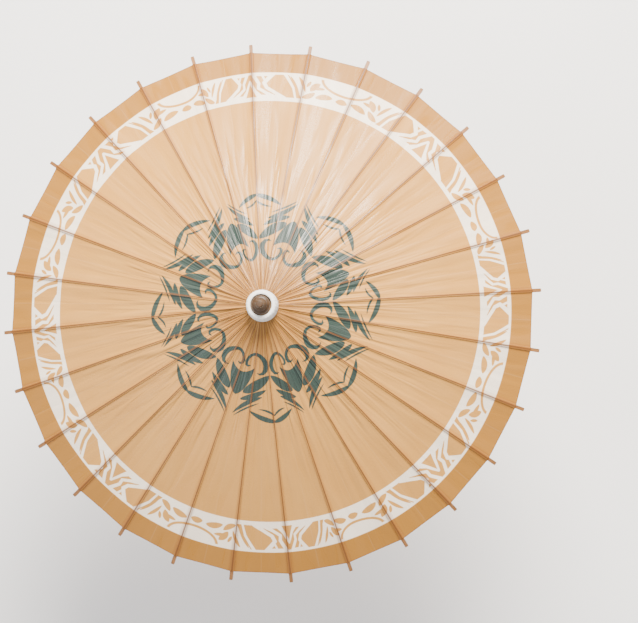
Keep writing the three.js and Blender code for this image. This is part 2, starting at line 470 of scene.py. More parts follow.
def silk_look():
    made, tree, shader = fresh_material("tassel floss")
    place = object_place(tree)
    height = put(tree, "ShaderNodeSeparateXYZ", Vector=place).outputs[2]
    stretched = put(tree, "ShaderNodeMapping", Vector=place, Scale=(900, 900, 60)).outputs[0]
    fibre = specks(tree, stretched, 1.0, 3.0)
    down = put(tree, "ShaderNodeMapRange", Value=height)
    settle(down, From_Min=-0.205, From_Max=-0.243, To_Min=0.0, To_Max=0.75)
    body = between(tree, fibre, linear(0xC88408), linear(0xFFCC3C))
    plug(tree, between(tree, down.outputs[0], body, linear(0xA8680C)), shader.inputs["Base Color"])
    bump = put(tree, "ShaderNodeBump", Height=fibre, Strength=0.5, Distance=0.0002)
    plug(tree, bump.outputs[0], shader.inputs["Normal"])
    plug(tree, calc(tree, "MULTIPLY_ADD", fibre, 0.25, 0.28), shader.inputs["Roughness"])
    settle(shader, Sheen_Weight=0.4)
    return made


silk = silk_look()
skirt = tube_mesh("tassel_threads", skirt_paths(), SKIRT_THREAD, 5)
skirt.data.materials.append(silk)
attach(skirt, "tassel")
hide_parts("tassel_skirt")


def knob_paths():
    """Threads that come up out of the binding, over the top and in to the cord."""
    paths = []
    for i in range(KNOB_THREADS):
        a = 2 * math.pi * i / KNOB_THREADS
        path = []
        for r, z in KNOB_OUTLINE:
            path.append(Vector((r / 1000 * math.cos(a), r / 1000 * math.sin(a), z / 1000)))
        paths.append(path)
    return paths


knob = tube_mesh("tassel_knob", knob_paths(), KNOB_THREAD, 6)
knob.data.materials.append(silk)
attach(knob, "tassel")
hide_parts("tassel_head")


def gilt_look():
    made, tree, shader = fresh_material("gilt thread")
    place = object_place(tree)
    speck = specks(tree, place, 1400.0, 2.0)
    plug(tree, between(tree, speck, linear(0xA8741E), linear(0xF2CF72)), shader.inputs["Base Color"])
    plug(tree, calc(tree, "MULTIPLY_ADD", speck, 0.3, 0.2), shader.inputs["Roughness"])
    settle(shader, Metallic=0.85)
    return made


def binding_paths():
    steps = BINDING_TURNS * BINDING_STEPS
    path = []
    for i in range(steps + 1):
        a = 2 * math.pi * i / BINDING_STEPS
        z = BINDING_TOP - BINDING_HEIGHT * i / steps
        path.append(Vector((BINDING_RADIUS * math.cos(a), BINDING_RADIUS * math.sin(a), z)))
    return [path]


binding = tube_mesh("gilt_winding", binding_paths(), BINDING_THREAD, 6)
binding.data.materials.append(gilt_look())
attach(binding, "tassel")
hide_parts("tassel_binding")


# --- Grip and end cap ---------------------------------------------------------
# Pale varnished wood, turned with a waist for the fingers. The rounded end is a
# separate cap glued in past a fine seam line.
def grain_group():
    """Wood fibre drawn out along one direction: long streaks and short pores."""
    inputs = {"Place": None, "Streak Scale": 1.0, "Pore Scale": 4.0}
    group, ins, outs = new_group("wood grain", inputs, ["Streak", "Pore"])
    broad = put(group, "ShaderNodeTexNoise", Vector=ins["Place"], Scale=ins["Streak Scale"], Detail=5.0)
    settle(broad, Distortion=0.4)
    fine = put(group, "ShaderNodeTexNoise", Vector=ins["Place"], Scale=ins["Pore Scale"], Detail=2.0)
    sharp = put(group, "ShaderNodeMapRange", Value=fine.outputs[0])
    settle(sharp, From_Min=0.52, From_Max=0.72)
    plug(group, broad.outputs[0], outs["Streak"])
    plug(group, sharp.outputs[0], outs["Pore"])
    return group


grain = grain_group()


def wood_look(name, place_of, dark, light, pore, pores, roughness, coat):
    """Wood in its darkest, lightest and pore colours. pores is how fine the pores are beside the streaks."""
    made, tree, shader = fresh_material(name)
    fibre = use_group(tree, grain, Place=place_of(tree), Streak_Scale=1.0, Pore_Scale=pores)
    body = between(tree, fibre["Streak"], linear(dark), linear(light))
    flecks = times(tree, fibre["Pore"], 0.45)
    plug(tree, between(tree, flecks, body, linear(pore)), shader.inputs["Base Color"])
    bump = put(tree, "ShaderNodeBump", Height=fibre["Pore"], Strength=0.25, Distance=0.0002)
    bump.invert = True
    plug(tree, bump.outputs[0], shader.inputs["Normal"])
    plug(tree, calc(tree, "MULTIPLY_ADD", fibre["Streak"], 0.2, roughness), shader.inputs["Roughness"])
    settle(shader, Coat_Weight=coat, Coat_Roughness=0.15)
    return made


def upright(across, along):
    """Coordinates drawn out along Z, for wood cut lengthwise."""

    def made(tree):
        place = object_place(tree)
        return put(tree, "ShaderNodeMapping", Vector=place, Scale=(across, across, along)).outputs[0]

    return made


pale_wood = wood_look(
    "pale wood", upright(130, 9),
    dark=0xBC8E38, light=0xD6B25C, pore=0x8A6020,
    pores=9.0, roughness=0.28, coat=0.35,
)
GRIP_OUTLINE = [
    (6.8, -36), (12.75, -36), (12.45, -33.5), (11.5, -28), (10.8, -23.3), (10.2, -16), (9.9, -8),
    (9.65, 2), (9.62, 12), (9.9, 22), (10.6, 30), (11.6, 36.5), (12.3, 41.5), (12.4, 44.4),
    (11.9, 46.4), (10.6, 47.9), (8.6, 48.5), (6.8, 48.5),
]
CAP_OUTLINE = [
    (4, -48.5), (9.4, -48.5), (11.2, -47.8), (12.3, -46.2), (12.75, -43.8), (12.8, -40), (12.7, -36.35),
    (6.4, -36.35), (6.4, -24), (1.6, -24), (1.6, -45.5),
]


def metres(outline):
    return [(r / 1000, z / 1000) for r, z in outline]


for name, node, outline in (("grip_wood", "handle", GRIP_OUTLINE), ("grip_end", "handle_cap", CAP_OUTLINE)):
    piece = turned_mesh(name, rounded(metres(outline), 0.0006, 3))
    piece.data.materials.append(pale_wood)
    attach(piece, "frame")
    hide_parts(node)


# --- Shaft and catch ----------------------------------------------------------
# A polished bamboo pole, a little thicker at its joints, with a slot for the
# catch: a springy bamboo sliver that holds the open runner up.
POLE_RADIUS = 6.15
POLE_START, POLE_SHOULDER, POLE_END = -22, 534, 550.5
PIN_RADIUS = 4  # the thin end that the finial sits on
POLE_JOINTS = (96, 214, 330, 462)
JOINT_SWELL = 0.35
SLOT_HALF_WIDTH = 0.0015
SLOT_FLOOR = 0.0022  # how far the slot's floor lies from the axis
SLOT_END_GAP = 0.0010


def pole_outline():
    outline = [(0, POLE_START)]
    z = POLE_START
    while z < POLE_SHOULDER:
        swell = sum(JOINT_SWELL * math.exp(-(((z - j) / 2.2) ** 2)) for j in POLE_JOINTS)
        outline.append((POLE_RADIUS + swell, z))
        near = min(abs(z - j) for j in POLE_JOINTS)
        z += 1.1 if near < 8 else 9
    outline += [(POLE_RADIUS, 534.2), (PIN_RADIUS, 534.2), (PIN_RADIUS, 550), (3.4, POLE_END), (0, POLE_END)]
    return metres(outline)


def cut_box(obj, low, high):
    """Takes a box out of a piece."""
    work = bmesh.new()
    bmesh.ops.create_cube(work, size=1)
    for vert in work.verts:
        vert.co = [lo + (c + 0.5) * (hi - lo) for c, lo, hi in zip(vert.co, low, high)]
    mesh = bpy.data.meshes.new("cutter")
    work.to_mesh(mesh)
    work.free()
    tool = show(bpy.data.objects.new("cutter", mesh))
    step = obj.modifiers.new("slot", "BOOLEAN")
    step.object = tool
    step.solver = "EXACT"
    shape = bpy.data.meshes.new_from_object(obj.evaluated_get(bpy.context.evaluated_depsgraph_get()))
    obj.modifiers.clear()
    obj.data = shape
    bpy.data.objects.remove(tool)


catch_low, catch_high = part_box("catch")
pole = turned_mesh("bamboo_pole", pole_outline(), 64)
cut_box(
    pole,
    (SLOT_FLOOR, -SLOT_HALF_WIDTH, catch_low[2] - SLOT_END_GAP),
    (0.02, SLOT_HALF_WIDTH, catch_high[2] + SLOT_END_GAP),
)
pole.data.shade_smooth()
pole.data.set_sharp_from_angle(angle=math.radians(35))


def cane_look():
    made = wood_look(
        "polished cane", upright(520, 7),
        dark=0xA2742A, light=0xC89C46, pore=0x74501C,
        pores=3.0, roughness=0.25, coat=0.4,
    )
    tree = made.node_tree
    shader = tree.nodes["Principled BSDF"]
    plain = shader.inputs["Base Color"].links[0].from_socket
    place = object_place(tree)
    height = put(tree, "ShaderNodeSeparateXYZ", Vector=place).outputs[2]
    ring = None
    for joint in POLE_JOINTS:
        off = calc(tree, "ABSOLUTE", minus(tree, height, joint / 1000))
        near = calc(tree, "LESS_THAN", off, 0.0007)
        ring = near if ring is None else calc(tree, "MAXIMUM", ring, near)
    share = times(tree, ring, 0.7)
    plug(tree, between(tree, share, plain, linear(0x8A6230)), shader.inputs["Base Color"])
    return made


pole.data.materials.append(cane_look())
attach(pole, "frame")
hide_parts("shaft")


RIB_FALL = 0.404  # how far an open rib drops for each unit outwards


def radial(across, along):
    """Coordinates drawn out along lines that meet at the shaft, for the ribs."""

    def made(tree):
        place = object_place(tree)
        xyz = put(tree, "ShaderNodeSeparateXYZ", Vector=place).outputs
        angle = calc(tree, "ARCTAN2", xyz[1], xyz[0])
        square = calc(tree, "ADD", calc(tree, "POWER", xyz[0], 2.0), calc(tree, "POWER", xyz[1], 2.0))
        out = calc(tree, "SQRT", square)
        level = calc(tree, "MULTIPLY_ADD", out, RIB_FALL, xyz[2])
        joined = put(
            tree,
            "ShaderNodeCombineXYZ",
            X=times(tree, angle, across),
            Y=times(tree, level, across * 4),
            Z=times(tree, out, along),
        )
        return joined.outputs[0]

    return made


bamboo = wood_look(
    "split bamboo", radial(160, 14),
    dark=0x5E3818, light=0xA06E3A, pore=0x3E2410,
    pores=3.5, roughness=0.35, coat=0.15,
)
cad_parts["catch"].data.materials.clear()
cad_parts["catch"].data.materials.append(bamboo)


# --- Hub and runner -----------------------------------------------------------
# Turned hardwood rings, each with a radial slot for every rib or stretcher and
# a groove for the thread that they turn on. The hub is fixed and the runner slides.
turned_wood = wood_look(
    "turned hardwood", upright(210, 16),
    dark=0x74501F, light=0xAA8044, pore=0x4A3010,
    pores=6.0, roughness=0.32, coat=0.3,
)
thread_look = twisted_look(
    "waxed thread", dark=0x4F3018, light=0x9C6B3E, pitch=0.004, strands=2.0, roughness=0.7
)
for name, look in (
    ("hub", turned_wood),
    ("runner", turned_wood),
    ("hub_lacing", thread_look),
    ("runner_lacing", thread_look),
):
    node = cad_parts[name]
    node.data.materials.clear()
    node.data.materials.append(look)


# --- Ribs and stretchers ------------------------------------------------------
# Split bamboo. Each rib turns on the hub's thread and carries a stretcher on a
# cross pin; the stretcher's other end turns on the runner's thread. Every second
# stretcher is a CAD solid, and the ones between are made here from its shape.
RIBS = 28
STEP = 2 * math.pi / RIBS
PIVOT_R = 0.017
PIVOT_Z = 0.505
CHORD = 0.424  # a rib from its pivot to its tip
OPEN = math.radians(68)
SAG = 0.0056  # how far a rib bows outwards
JOINT_S = 0.170  # where a stretcher meets its rib, along and above the chord
JOINT_DROP = 0.0005
END_CUT = 0.0022  # the made ones stop this far short of the runner's thread


def bow(s):
    t = s / CHORD
    return SAG * 4 * t * (1 - t)


joint_up = bow(JOINT_S) - JOINT_DROP
joint_turn = OPEN + math.atan2(joint_up, JOINT_S)
rise = math.pi / 2 - joint_turn  # a stretcher's climb from the runner, open
runner_z = PIVOT_Z - 2 * math.hypot(JOINT_S, joint_up) * math.cos(joint_turn)
for name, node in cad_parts.items():
    if name.startswith(("rib_", "stretcher_")):
        node.data.materials.clear()
        node.data.materials.append(bamboo)


def cut_end(mesh, angle):
    """Takes off the end that would turn on the runner's thread, and closes the cut."""
    out = Vector((math.cos(angle), math.sin(angle), 0))
    along = out * math.cos(rise) + Vector((0, 0, math.sin(rise)))
    work = bmesh.new()
    work.from_mesh(mesh)
    everything = work.verts[:] + work.edges[:] + work.faces[:]
    place = out * PIVOT_R + Vector((0, 0, runner_z)) + along * END_CUT
    found = bmesh.ops.bisect_plane(work, geom=everything, plane_co=place, plane_no=along, clear_inner=True)
    bmesh.ops.holes_fill(work, edges=[e for e in found["geom_cut"] if isinstance(e, bmesh.types.BMEdge)])
    work.to_mesh(mesh)
    work.free()


for k in range(0, RIBS, 2):
    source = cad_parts[f"stretcher_{k + 1:02d}"]
    mesh = source.data.copy()
    mesh.transform(source.matrix_world)
    mesh.transform(Matrix.Rotation(STEP, 4, "Z"))
    cut_end(mesh, (k + 1) * STEP)
    between_rib = show(bpy.data.objects.new(f"stretcher_between_{k + 1:02d}", mesh))
    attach(between_rib, f"stretcher_{k + 1:02d}")
    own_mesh(between_rib)


# --- Canopy print -------------------------------------------------------------
# Oiled paper with a printed ring of leaves and scrolls round the middle and a
# pale cut-out band near the rim. The print is drawn in the shader from each
# point's place on the open canopy, so it folds with the paper.
def stroke_group():
    """How deep a place lies in a straight stroke with round ends, in mm."""
    inputs = {"Place": None, "Start": None, "End": None, "Start Width": 1.0, "End Width": 1.0}
    group, ins, outs = new_group("print stroke", inputs, ["Depth"])
    off = vector(group, "SUBTRACT", ins["Place"], ins["Start"])
    line = vector(group, "SUBTRACT", ins["End"], ins["Start"])
    square = vector(group, "DOT_PRODUCT", line, line)
    share = clamped(group, calc(group, "DIVIDE", vector(group, "DOT_PRODUCT", off, line), square))
    miss = vector(group, "LENGTH", vector(group, "SUBTRACT", off, vector(group, "SCALE", line, share)))
    width = blend_value(group, share, ins["Start Width"], ins["End Width"])
    plug(group, minus(group, times(group, width, 0.5), miss), outs["Depth"])
    return group


def leaf_group():
    """How deep a place lies in a pointed leaf from Start to End, in mm.

    Bulge bows its middle line, and a Skew over 1 moves its widest place towards End.
    """
    inputs = {"Place": None, "Start": None, "End": None, "Width": 1.0, "Bulge": 0.0, "Skew": 1.0}
    group, ins, outs = new_group("print leaf", inputs, ["Depth"])
    off = vector(group, "SUBTRACT", ins["Place"], ins["Start"])
    line = vector(group, "SUBTRACT", ins["End"], ins["Start"])
    length = vector(group, "LENGTH", line)
    raw = calc(group, "DIVIDE", vector(group, "DOT_PRODUCT", off, line), times(group, length, length))
    share = clamped(group, raw)
    past = times(group, calc(group, "ABSOLUTE", minus(group, raw, share)), length)
    cross = put(group, "ShaderNodeSeparateXYZ", Vector=vector(group, "CROSS_PRODUCT", line, off)).outputs[2]
    aside = calc(group, "DIVIDE", cross, length)
    arch = times(group, times(group, share, minus(group, 1.0, share)), 4.0)
    miss = calc(group, "ABSOLUTE", minus(group, aside, times(group, arch, ins["Bulge"])))
    moved = calc(group, "POWER", share, ins["Skew"])
    hump = times(group, times(group, moved, minus(group, 1.0, moved)), 4.0)
    half = times(group, times(group, calc(group, "POWER", hump, 0.7), ins["Width"]), 0.5)
    plug(group, minus(group, minus(group, half, miss), past), outs["Depth"])
    return group


def vector(tree, operation, *values):
    """A Vector Math node's result."""
    made = tree.nodes.new("ShaderNodeVectorMath")
    made.operation = operation
    if operation == "SCALE":
        plug(tree, values[0], made.inputs[0])
        plug(tree, values[1], made.inputs["Scale"])
    else:
        for value, socket in zip(values, made.inputs):
            plug(tree, value, socket)
    return made.outputs["Value" if operation in ("LENGTH", "DOT_PRODUCT") else "Vector"]


def clamped(tree, value):
    return put(tree, "ShaderNodeClamp", Value=value).outputs[0]


def blend_value(tree, share, low, high):
    return calc(tree, "MULTIPLY_ADD", share, minus(tree, high, low), low)


def deepest(tree, depths):
    found = depths[0]
    for depth in depths[1:]:
        found = calc(tree, "MAXIMUM", found, depth)
    return found


def ramp(tree, value, start, end):
    made = put(tree, "ShaderNodeMapRange", Value=value)
    made.interpolation_type = "SMOOTHSTEP"
    settle(made, From_Min=start, From_Max=end)
    return made.outputs[0]


def inked(tree, depth):
    """A mask from a depth in mm, with a slightly soft edge."""
    return ramp(tree, depth, -0.5, 0.5)


stroke, leaf = stroke_group(), leaf_group()
HALF_UNIT = 23.0  # degrees from a shield's middle to the next boundary, once evened out
FIRST_SHIELD, SECOND_SHIELD = 24.05, 72.9  # degrees into a quarter turn
HALF_FIRST, HALF_BEFORE, HALF_AFTER = 24.2, 24.55, 17.1  # degrees on the real print
PRINT_TURN = math.degrees(UP_TURN) + 4.95  # the azimuth, in degrees, that a quarter turn starts from


def unit_group():
    """Turns a place on the open canopy into the print's repeat.

    Turn is degrees from the nearest shield's middle and Out is mm from the shaft. A quarter
    turn holds two shields, and one of its four halves is narrower than the others.
    """
    group, ins, outs = new_group("print repeat", {"Place": None}, ["Turn", "Out"])
    xyz = put(group, "ShaderNodeSeparateXYZ", Vector=ins["Place"]).outputs
    angle = times(group, calc(group, "ARCTAN2", xyz[1], xyz[0]), 180 / math.pi)
    quarter = calc(group, "FLOORED_MODULO", minus(group, PRINT_TURN + 360, angle), 90.0)
    first = calc(group, "DIVIDE", calc(group, "ABSOLUTE", minus(group, quarter, FIRST_SHIELD)), HALF_FIRST)
    off = minus(group, quarter, SECOND_SHIELD)
    before, after = calc(group, "DIVIDE", off, -HALF_BEFORE), calc(group, "DIVIDE", off, HALF_AFTER)
    second = calc(group, "MAXIMUM", before, after)
    plug(group, times(group, calc(group, "MINIMUM", first, second), HALF_UNIT), outs["Turn"])
    flat = put(group, "ShaderNodeCombineXYZ", X=xyz[0], Y=xyz[1]).outputs[0]
    plug(group, times(group, vector(group, "LENGTH", flat), 1000.0), outs["Out"])
    return group


# Each leaf: its base and its tip as (degrees, mm from the shaft), its width, bulge and skew.
RING_LEAVES = [
    ((4.4, 128.5), (22.6, 101), 14.5, 2.0, 0.85),
    ((3.6, 139.0), (19.2, 121.5), 8.4, 2.0, 0.85),
    ((1.4, 162), (16.6, 132.0), 6.8, -3.0, 1.2),
    ((2.2, 165), (14.8, 141), 2.8, -1.5, 1.0),
    ((23.4, 160.5), (14.6, 150.0), 3.4, 2.2, 0.8),
    ((23.6, 169.0), (9.6, 153.0), 7.6, -3.2, 0.75),
]
# The scroll's middle line, from end to end: degrees, mm from the shaft, and width.
RING_SCROLL = [
    (5.8, 87.6, 1.4), (3.6, 89.0, 3.0), (2.1, 87.2, 4.2), (1.6, 83.0, 4.4),
    (2.4, 78.0, 4.2), (4.6, 73.4, 4.2), (7.6, 70.8, 4.4), (10.8, 70.4, 4.8),
    (14.4, 72.6, 5.6), (17.4, 76.4, 6.6), (19.4, 81.0, 7.4), (20.2, 86.5, 7.8),
    (19.4, 92.6, 7.0), (17.4, 97.4, 5.0), (14.8, 99.0, 3.0), (12.4, 97.6, 1.0),
]
SHIELD_TOP, SHIELD_WIDEST, SHIELD_FOOT = 134.0, 88.0, 98.9  # mm from the shaft
SHIELD_HALF_WIDTH = 16.4


def brushed(group, place, at, line):
    """The depths in the strokes along a line of (degrees, mm out, width)."""
    depths = []
    for (turn_a, out_a, width_a), (turn_b, out_b, width_b) in zip(line, line[1:]):
        ends = {"Start": at(turn_a, out_a), "End": at(turn_b, out_b)}
        widths = {"Start Width": width_a, "End Width": width_b}
        depths.append(use_group(group, stroke, Place=place, **ends, **widths)[0])
    return depths


def motif_group():
    """The middle ring: shield, scroll and leaves, as one mask."""
    group, ins, outs = new_group("leaf ring", {"Turn": 0.0, "Out": 0.0}, ["Ink"])
    angle = times(group, ins["Turn"], math.pi / 180)
    x = times(group, ins["Out"], calc(group, "SINE", angle))
    y = times(group, ins["Out"], calc(group, "COSINE", angle))
    place = put(group, "ShaderNodeCombineXYZ", X=x, Y=y).outputs[0]

    def at(turn, out):
        return (out * math.sin(math.radians(turn)), out * math.cos(math.radians(turn)), 0)

    depths = []
    for start, end, width, bulge, skew in RING_LEAVES:
        ends = {"Start": at(*start), "End": at(*end)}
        depths.append(use_group(group, leaf, Place=place, Width=width, Bulge=bulge, Skew=skew, **ends)[0])
    depths += brushed(group, place, at, RING_SCROLL)
    length = SHIELD_TOP - SHIELD_WIDEST
    down = clamped(group, calc(group, "DIVIDE", minus(group, y, SHIELD_WIDEST), length))
    taper = calc(group, "POWER", minus(group, 1.0, times(group, down, down)), 0.6)
    side = times(group, taper, SHIELD_HALF_WIDTH)
    inside = minus(group, side, calc(group, "ABSOLUTE", x))
    edge = calc(group, "MINIMUM", inside, minus(group, SHIELD_TOP, y))
    spread = calc(group, "POWER", calc(group, "ABSOLUTE", x), 2.0)
    dip = calc(group, "MULTIPLY_ADD", spread, -0.04, SHIELD_FOOT)
    depths.append(calc(group, "MINIMUM", edge, minus(group, y, dip)))
    plug(group, inked(group, deepest(group, depths)), outs["Ink"])
    return group


BAND_MM = 6.0  # mm for each degree along the band
BAND_INSIDE, BAND_OUTSIDE = 317.9, 365.0  # mm from the shaft
INNER_BORDER_END, OUTER_BORDER_START = 324.3, 361.6
DOME_FOOT = 363.0  # the arch's half ellipses stand on this
# Each hole in the pale arch: base and tip as (degrees, mm from the shaft), width and bulge.
BAND_HOLES = [
    ((6.2, 354.0), (8.2, 339.0), 9.5, 1.0),
    ((4.8, 346.5), (8.4, 344.5), 5.5, 0.0),
    ((8.4, 355.0), (9.2, 345.0), 4.5, 0.0),
    ((-1.5, 332.5), (1.5, 332.5), 9.5, 1.0),
    ((2.4, 335.0), (6.6, 330.0), 9.5, 1.5),
    ((6.9, 337.5), (9.9, 326.5), 8.5, -1.5),
    ((9.3, 336.0), (11.4, 360.0), 5.0, 1.0),
    ((10.6, 328.0), (13.4, 360.0), 4.4, 0.5),
]
# The pale forks between the arches, each a line of (degrees, mm from the shaft, width).
BAND_FORKS = [
    [(11.4, 322, 3.0), (12.4, 341, 3.4), (14.8, 364, 4.6)],
    [(14.6, 322, 9.0), (16.6, 331, 5.0), (18.9, 340, 5.0), (19.5, 348, 5.4), (17.4, 364, 7.0)],
    [(17.4, 325, 8.0), (19.2, 332, 4.4), (20.9, 339, 4.4), (20.8, 347, 4.6), (22.3, 364, 5.0)],
    [(20.4, 323, 9.0), (21.7, 334, 4.4), (23.0, 351, 3.0)],
    [(15.6, 325, 6.0), (20.4, 325, 6.0)],
    [(18.2, 362, 6.0), (21.6, 362, 5.0)],
    [(19.4, 352, 3.0), (20.1, 362, 3.0)],
]


def band_group():
    """The band near the rim: borders, arches and forks, as one mask of its pale parts."""
    group, ins, outs = new_group("rim band", {"Turn": 0.0, "Out": 0.0}, ["Pale"])
    x = times(group, ins["Turn"], BAND_MM)
    y = ins["Out"]
    place = put(group, "ShaderNodeCombineXYZ", X=x, Y=y).outputs[0]

    def at(turn, out):
        return (turn * BAND_MM, out, 0)

    def bar(low, high):
        middle, half = (low + high) / 2, (high - low) / 2
        return minus(group, half, calc(group, "ABSOLUTE", minus(group, y, middle)))

    def dome(half_width, height):
        """Depth in a half ellipse that stands on the outer border."""
        wide = calc(group, "POWER", calc(group, "DIVIDE", x, half_width), 2.0)
        high = calc(group, "POWER", calc(group, "DIVIDE", minus(group, DOME_FOOT, y), height), 2.0)
        reach = calc(group, "SQRT", calc(group, "ADD", wide, high))
        return times(group, minus(group, 1.0, reach), height)

    # The arch's mass ends at a side that leans outwards.
    side = calc(group, "MULTIPLY_ADD", minus(group, y, 323.0), 0.62, 59.0)
    mass = minus(group, side, x)
    rim = times(group, dome(33.5, 18.0), -1.0)
    holes = [calc(group, "MINIMUM", dome(37.5, 21.8), rim)]
    for start, end, width, bulge in BAND_HOLES:
        ends = {"Start": at(*start), "End": at(*end)}
        holes.append(use_group(group, leaf, Place=place, Width=width, Bulge=bulge, **ends)[0])
    arch = calc(group, "MINIMUM", mass, times(group, deepest(group, holes), -1.0))
    pale = [arch, bar(BAND_INSIDE, INNER_BORDER_END), bar(OUTER_BORDER_START, BAND_OUTSIDE)]
    for line in BAND_FORKS:
        pale += brushed(group, place, at, line)
    within = calc(group, "MINIMUM", deepest(group, pale), bar(BAND_INSIDE, BAND_OUTSIDE))
    plug(group, inked(group, within), outs["Pale"])
    return group


def fibre_group():
    """The paper's own variation: wrinkles that run out from the hub, fibres and cloudy oil."""
    group, ins, outs = new_group("oiled paper fibre", {"Place": None}, ["Wrinkle", "Fibre", "Cloud"])
    xyz = put(group, "ShaderNodeSeparateXYZ", Vector=ins["Place"]).outputs
    angle = calc(group, "ARCTAN2", xyz[1], xyz[0])
    out = vector(group, "LENGTH", ins["Place"])
    fan = put(
        group,
        "ShaderNodeCombineXYZ",
        X=times(group, calc(group, "COSINE", angle), 22.0),
        Y=times(group, calc(group, "SINE", angle), 22.0),
        Z=times(group, out, 11.0),
    ).outputs[0]
    folds = put(group, "ShaderNodeTexNoise", Vector=fan, Scale=1.0, Detail=1.2)
    settle(folds, Distortion=0.6)
    strands = put(group, "ShaderNodeTexNoise", Vector=ins["Place"], Scale=420.0, Detail=4.0)
    clouds = put(group, "ShaderNodeTexNoise", Vector=ins["Place"], Scale=14.0, Detail=3.0)
    for made, title in ((folds, "Wrinkle"), (strands, "Fibre"), (clouds, "Cloud")):
        plug(group, made.outputs[0], outs[title])
    return group


def paper_look():
    made, tree, shader = fresh_material("oiled paper")
    place = tree.nodes.new("ShaderNodeAttribute")
    place.attribute_name = "print_place"
    spot = tree.nodes.new("ShaderNodeAttribute")
    spot.attribute_name = "gore_place"
    ridge, across, along = put(tree, "ShaderNodeSeparateXYZ", Vector=spot.outputs["Vector"]).outputs
    unit = use_group(tree, unit_group(), Place=place.outputs["Vector"])
    fibre = use_group(tree, fibre_group(), Place=place.outputs["Vector"])
    ink = use_group(tree, motif_group(), Turn=unit["Turn"], Out=unit["Out"])["Ink"]
    band = use_group(tree, band_group(), Turn=unit["Turn"], Out=unit["Out"])["Pale"]

    tan = between(tree, fibre["Cloud"], linear(0xB9823B), linear(0xC79349))
    tan = between(tree, ramp(tree, unit["Out"], BAND_OUTSIDE, BAND_OUTSIDE + 1.2), tan, linear(0x9E6C26))
    tan = between(tree, times(tree, fibre["Fibre"], 0.12), tan, linear(0x94602C))
    crease = times(tree, ramp(tree, across, 0.972, 0.99), 0.04)
    tan = between(tree, crease, tan, linear(0xF6DDBB))
    # Painted shade near the hub, where the pleated paper between the converging ribs lies in shadow; deepest
    # at the middle of each gore.
    hub_shade = minus(tree, 1.0, ramp(tree, unit["Out"], 35.0, 125.0))
    deep = calc(tree, "MULTIPLY_ADD", ramp(tree, across, 0.25, 0.95), 0.4, 0.28)
    tan = between(tree, times(tree, hub_shade, deep), tan, linear(0x6A3A16))
    pale = between(tree, fibre["Cloud"], linear(0xEFE0CA), linear(0xF8ECDA))
    tan = between(tree, times(tree, band, 0.93), tan, pale)
    green = between(tree, fibre["Fibre"], linear(0x05242A), linear(0x14423F))
    tan = between(tree, times(tree, ink, 0.95), tan, green)
    # Painted shadow beside each rib, stronger towards the rim, where the paper rises over the rib.
    beside_rib = minus(tree, 1.0, ramp(tree, across, 0.0, 0.1))
    shade = times(tree, beside_rib, ramp(tree, along, 0.15, 0.42))
    tan = between(tree, times(tree, shade, 0.3), tan, linear(0x7A4418))
    side_tint = times(tree, ramp(tree, ridge, 0.0, 0.5), 0.22)
    tan = between(tree, side_tint, tan, linear(0x7E4A20))
    worn = between(tree, fibre["Fibre"], linear(0x3A1E0C), linear(0x7A4A20))
    tan = between(tree, times(tree, ramp(tree, ridge, 0.42, 0.72), 0.85), tan, worn)
    hem = times(tree, ramp(tree, along, 0.4092, 0.4104), 0.5)
    tan = between(tree, hem, tan, linear(0x6A3C16))
    plug(tree, tan, shader.inputs["Base Color"])

    rough = calc(tree, "MULTIPLY_ADD", ramp(tree, fibre["Wrinkle"], 0.4, 0.62), 0.3, 0.27)
    plug(tree, rough, shader.inputs["Roughness"])
    near_hub = calc(tree, "MULTIPLY_ADD", ramp(tree, unit["Out"], 90.0, 320.0), -0.75, 1.0)
    height = calc(tree, "MULTIPLY_ADD", fibre["Fibre"], 0.05, times(tree, fibre["Wrinkle"], near_hub))
    bump = put(tree, "ShaderNodeBump", Height=height, Strength=0.8, Distance=0.006)
    plug(tree, bump.outputs[0], shader.inputs["Normal"])
    settle(shader, Specular_IOR_Level=0.35, Coat_Weight=0.06, Coat_Roughness=0.2)
    return made


paper = paper_look()


# --- Canopy paper -------------------------------------------------------------
# One thin sheet, pasted over every rib and creased along the middle of each gore.
# It is built as a strip over each rib and a half gore on either side, in an inner
# and an outer part, which meet edge to edge and dip to a crease in between the ribs.
RIB_HALF_DEPTH = 0.0019
PAPER_START = 0.00265
PAPER_END = 0.411
PAPER_THICK = 0.0003
OVER_RIB = 0.00035  # the paper's outside above the rib
HUB_VALLEY = 0.0004  # how far a gore's middle sags by the hub
VALLEY = 0.0018  # and how much more at the rim
STATIONS = 44
SEAM = 17  # the station where a half gore's inner part ends
PARTS = {"inner": (0, SEAM), "outer": (SEAM, STATIONS)}  # the stations each runs between
# For each part: a place set on the rib, where along the rib and how far out from the
# strip's edge, then its lean off the rib's own side, and how fast it parts from the
# rib on the way out.
FOLDS = {"inner": (0.09, 0.0004, math.radians(7), 0.008), "outer": (0.30, -0.0002, math.radians(5), 0.0)}
GORE_COLUMNS = 9
RIPPLE = 0.0012
CUT_ANGLE = 1.0  # in radians, the fold past which an edge is a cut one


def rib_half_width(s):
    return 0.0008 if s < 0.012 else 0.0012 + 0.0015 * (s - 0.013) / 0.413


def strip_half_width(s):
    return max(rib_half_width(s), 0.0012) + 0.0002 + 0.0010 * (s / PAPER_END) ** 2


def clear_of_hub(s):
    return min(1, s / 0.04)


def strip_drop(s):
    return 0.0003 + 0.0009 * clear_of_hub(s) + 0.0003 * s / PAPER_END


def on_rib(s, level, aside):
    """The place at s along a rib, at a height over its middle line and aside of it, as (out, aside, up)."""
    out = PIVOT_R + s * math.sin(OPEN) + level * math.cos(OPEN)
    up = PIVOT_Z - s * math.cos(OPEN) + level * math.sin(OPEN)
    return out, aside, up


def turned(place, angle):
    out, aside, up = place
    c, s = math.cos(angle), math.sin(angle)
    return Vector((out * c - aside * s, out * s + aside * c, up))


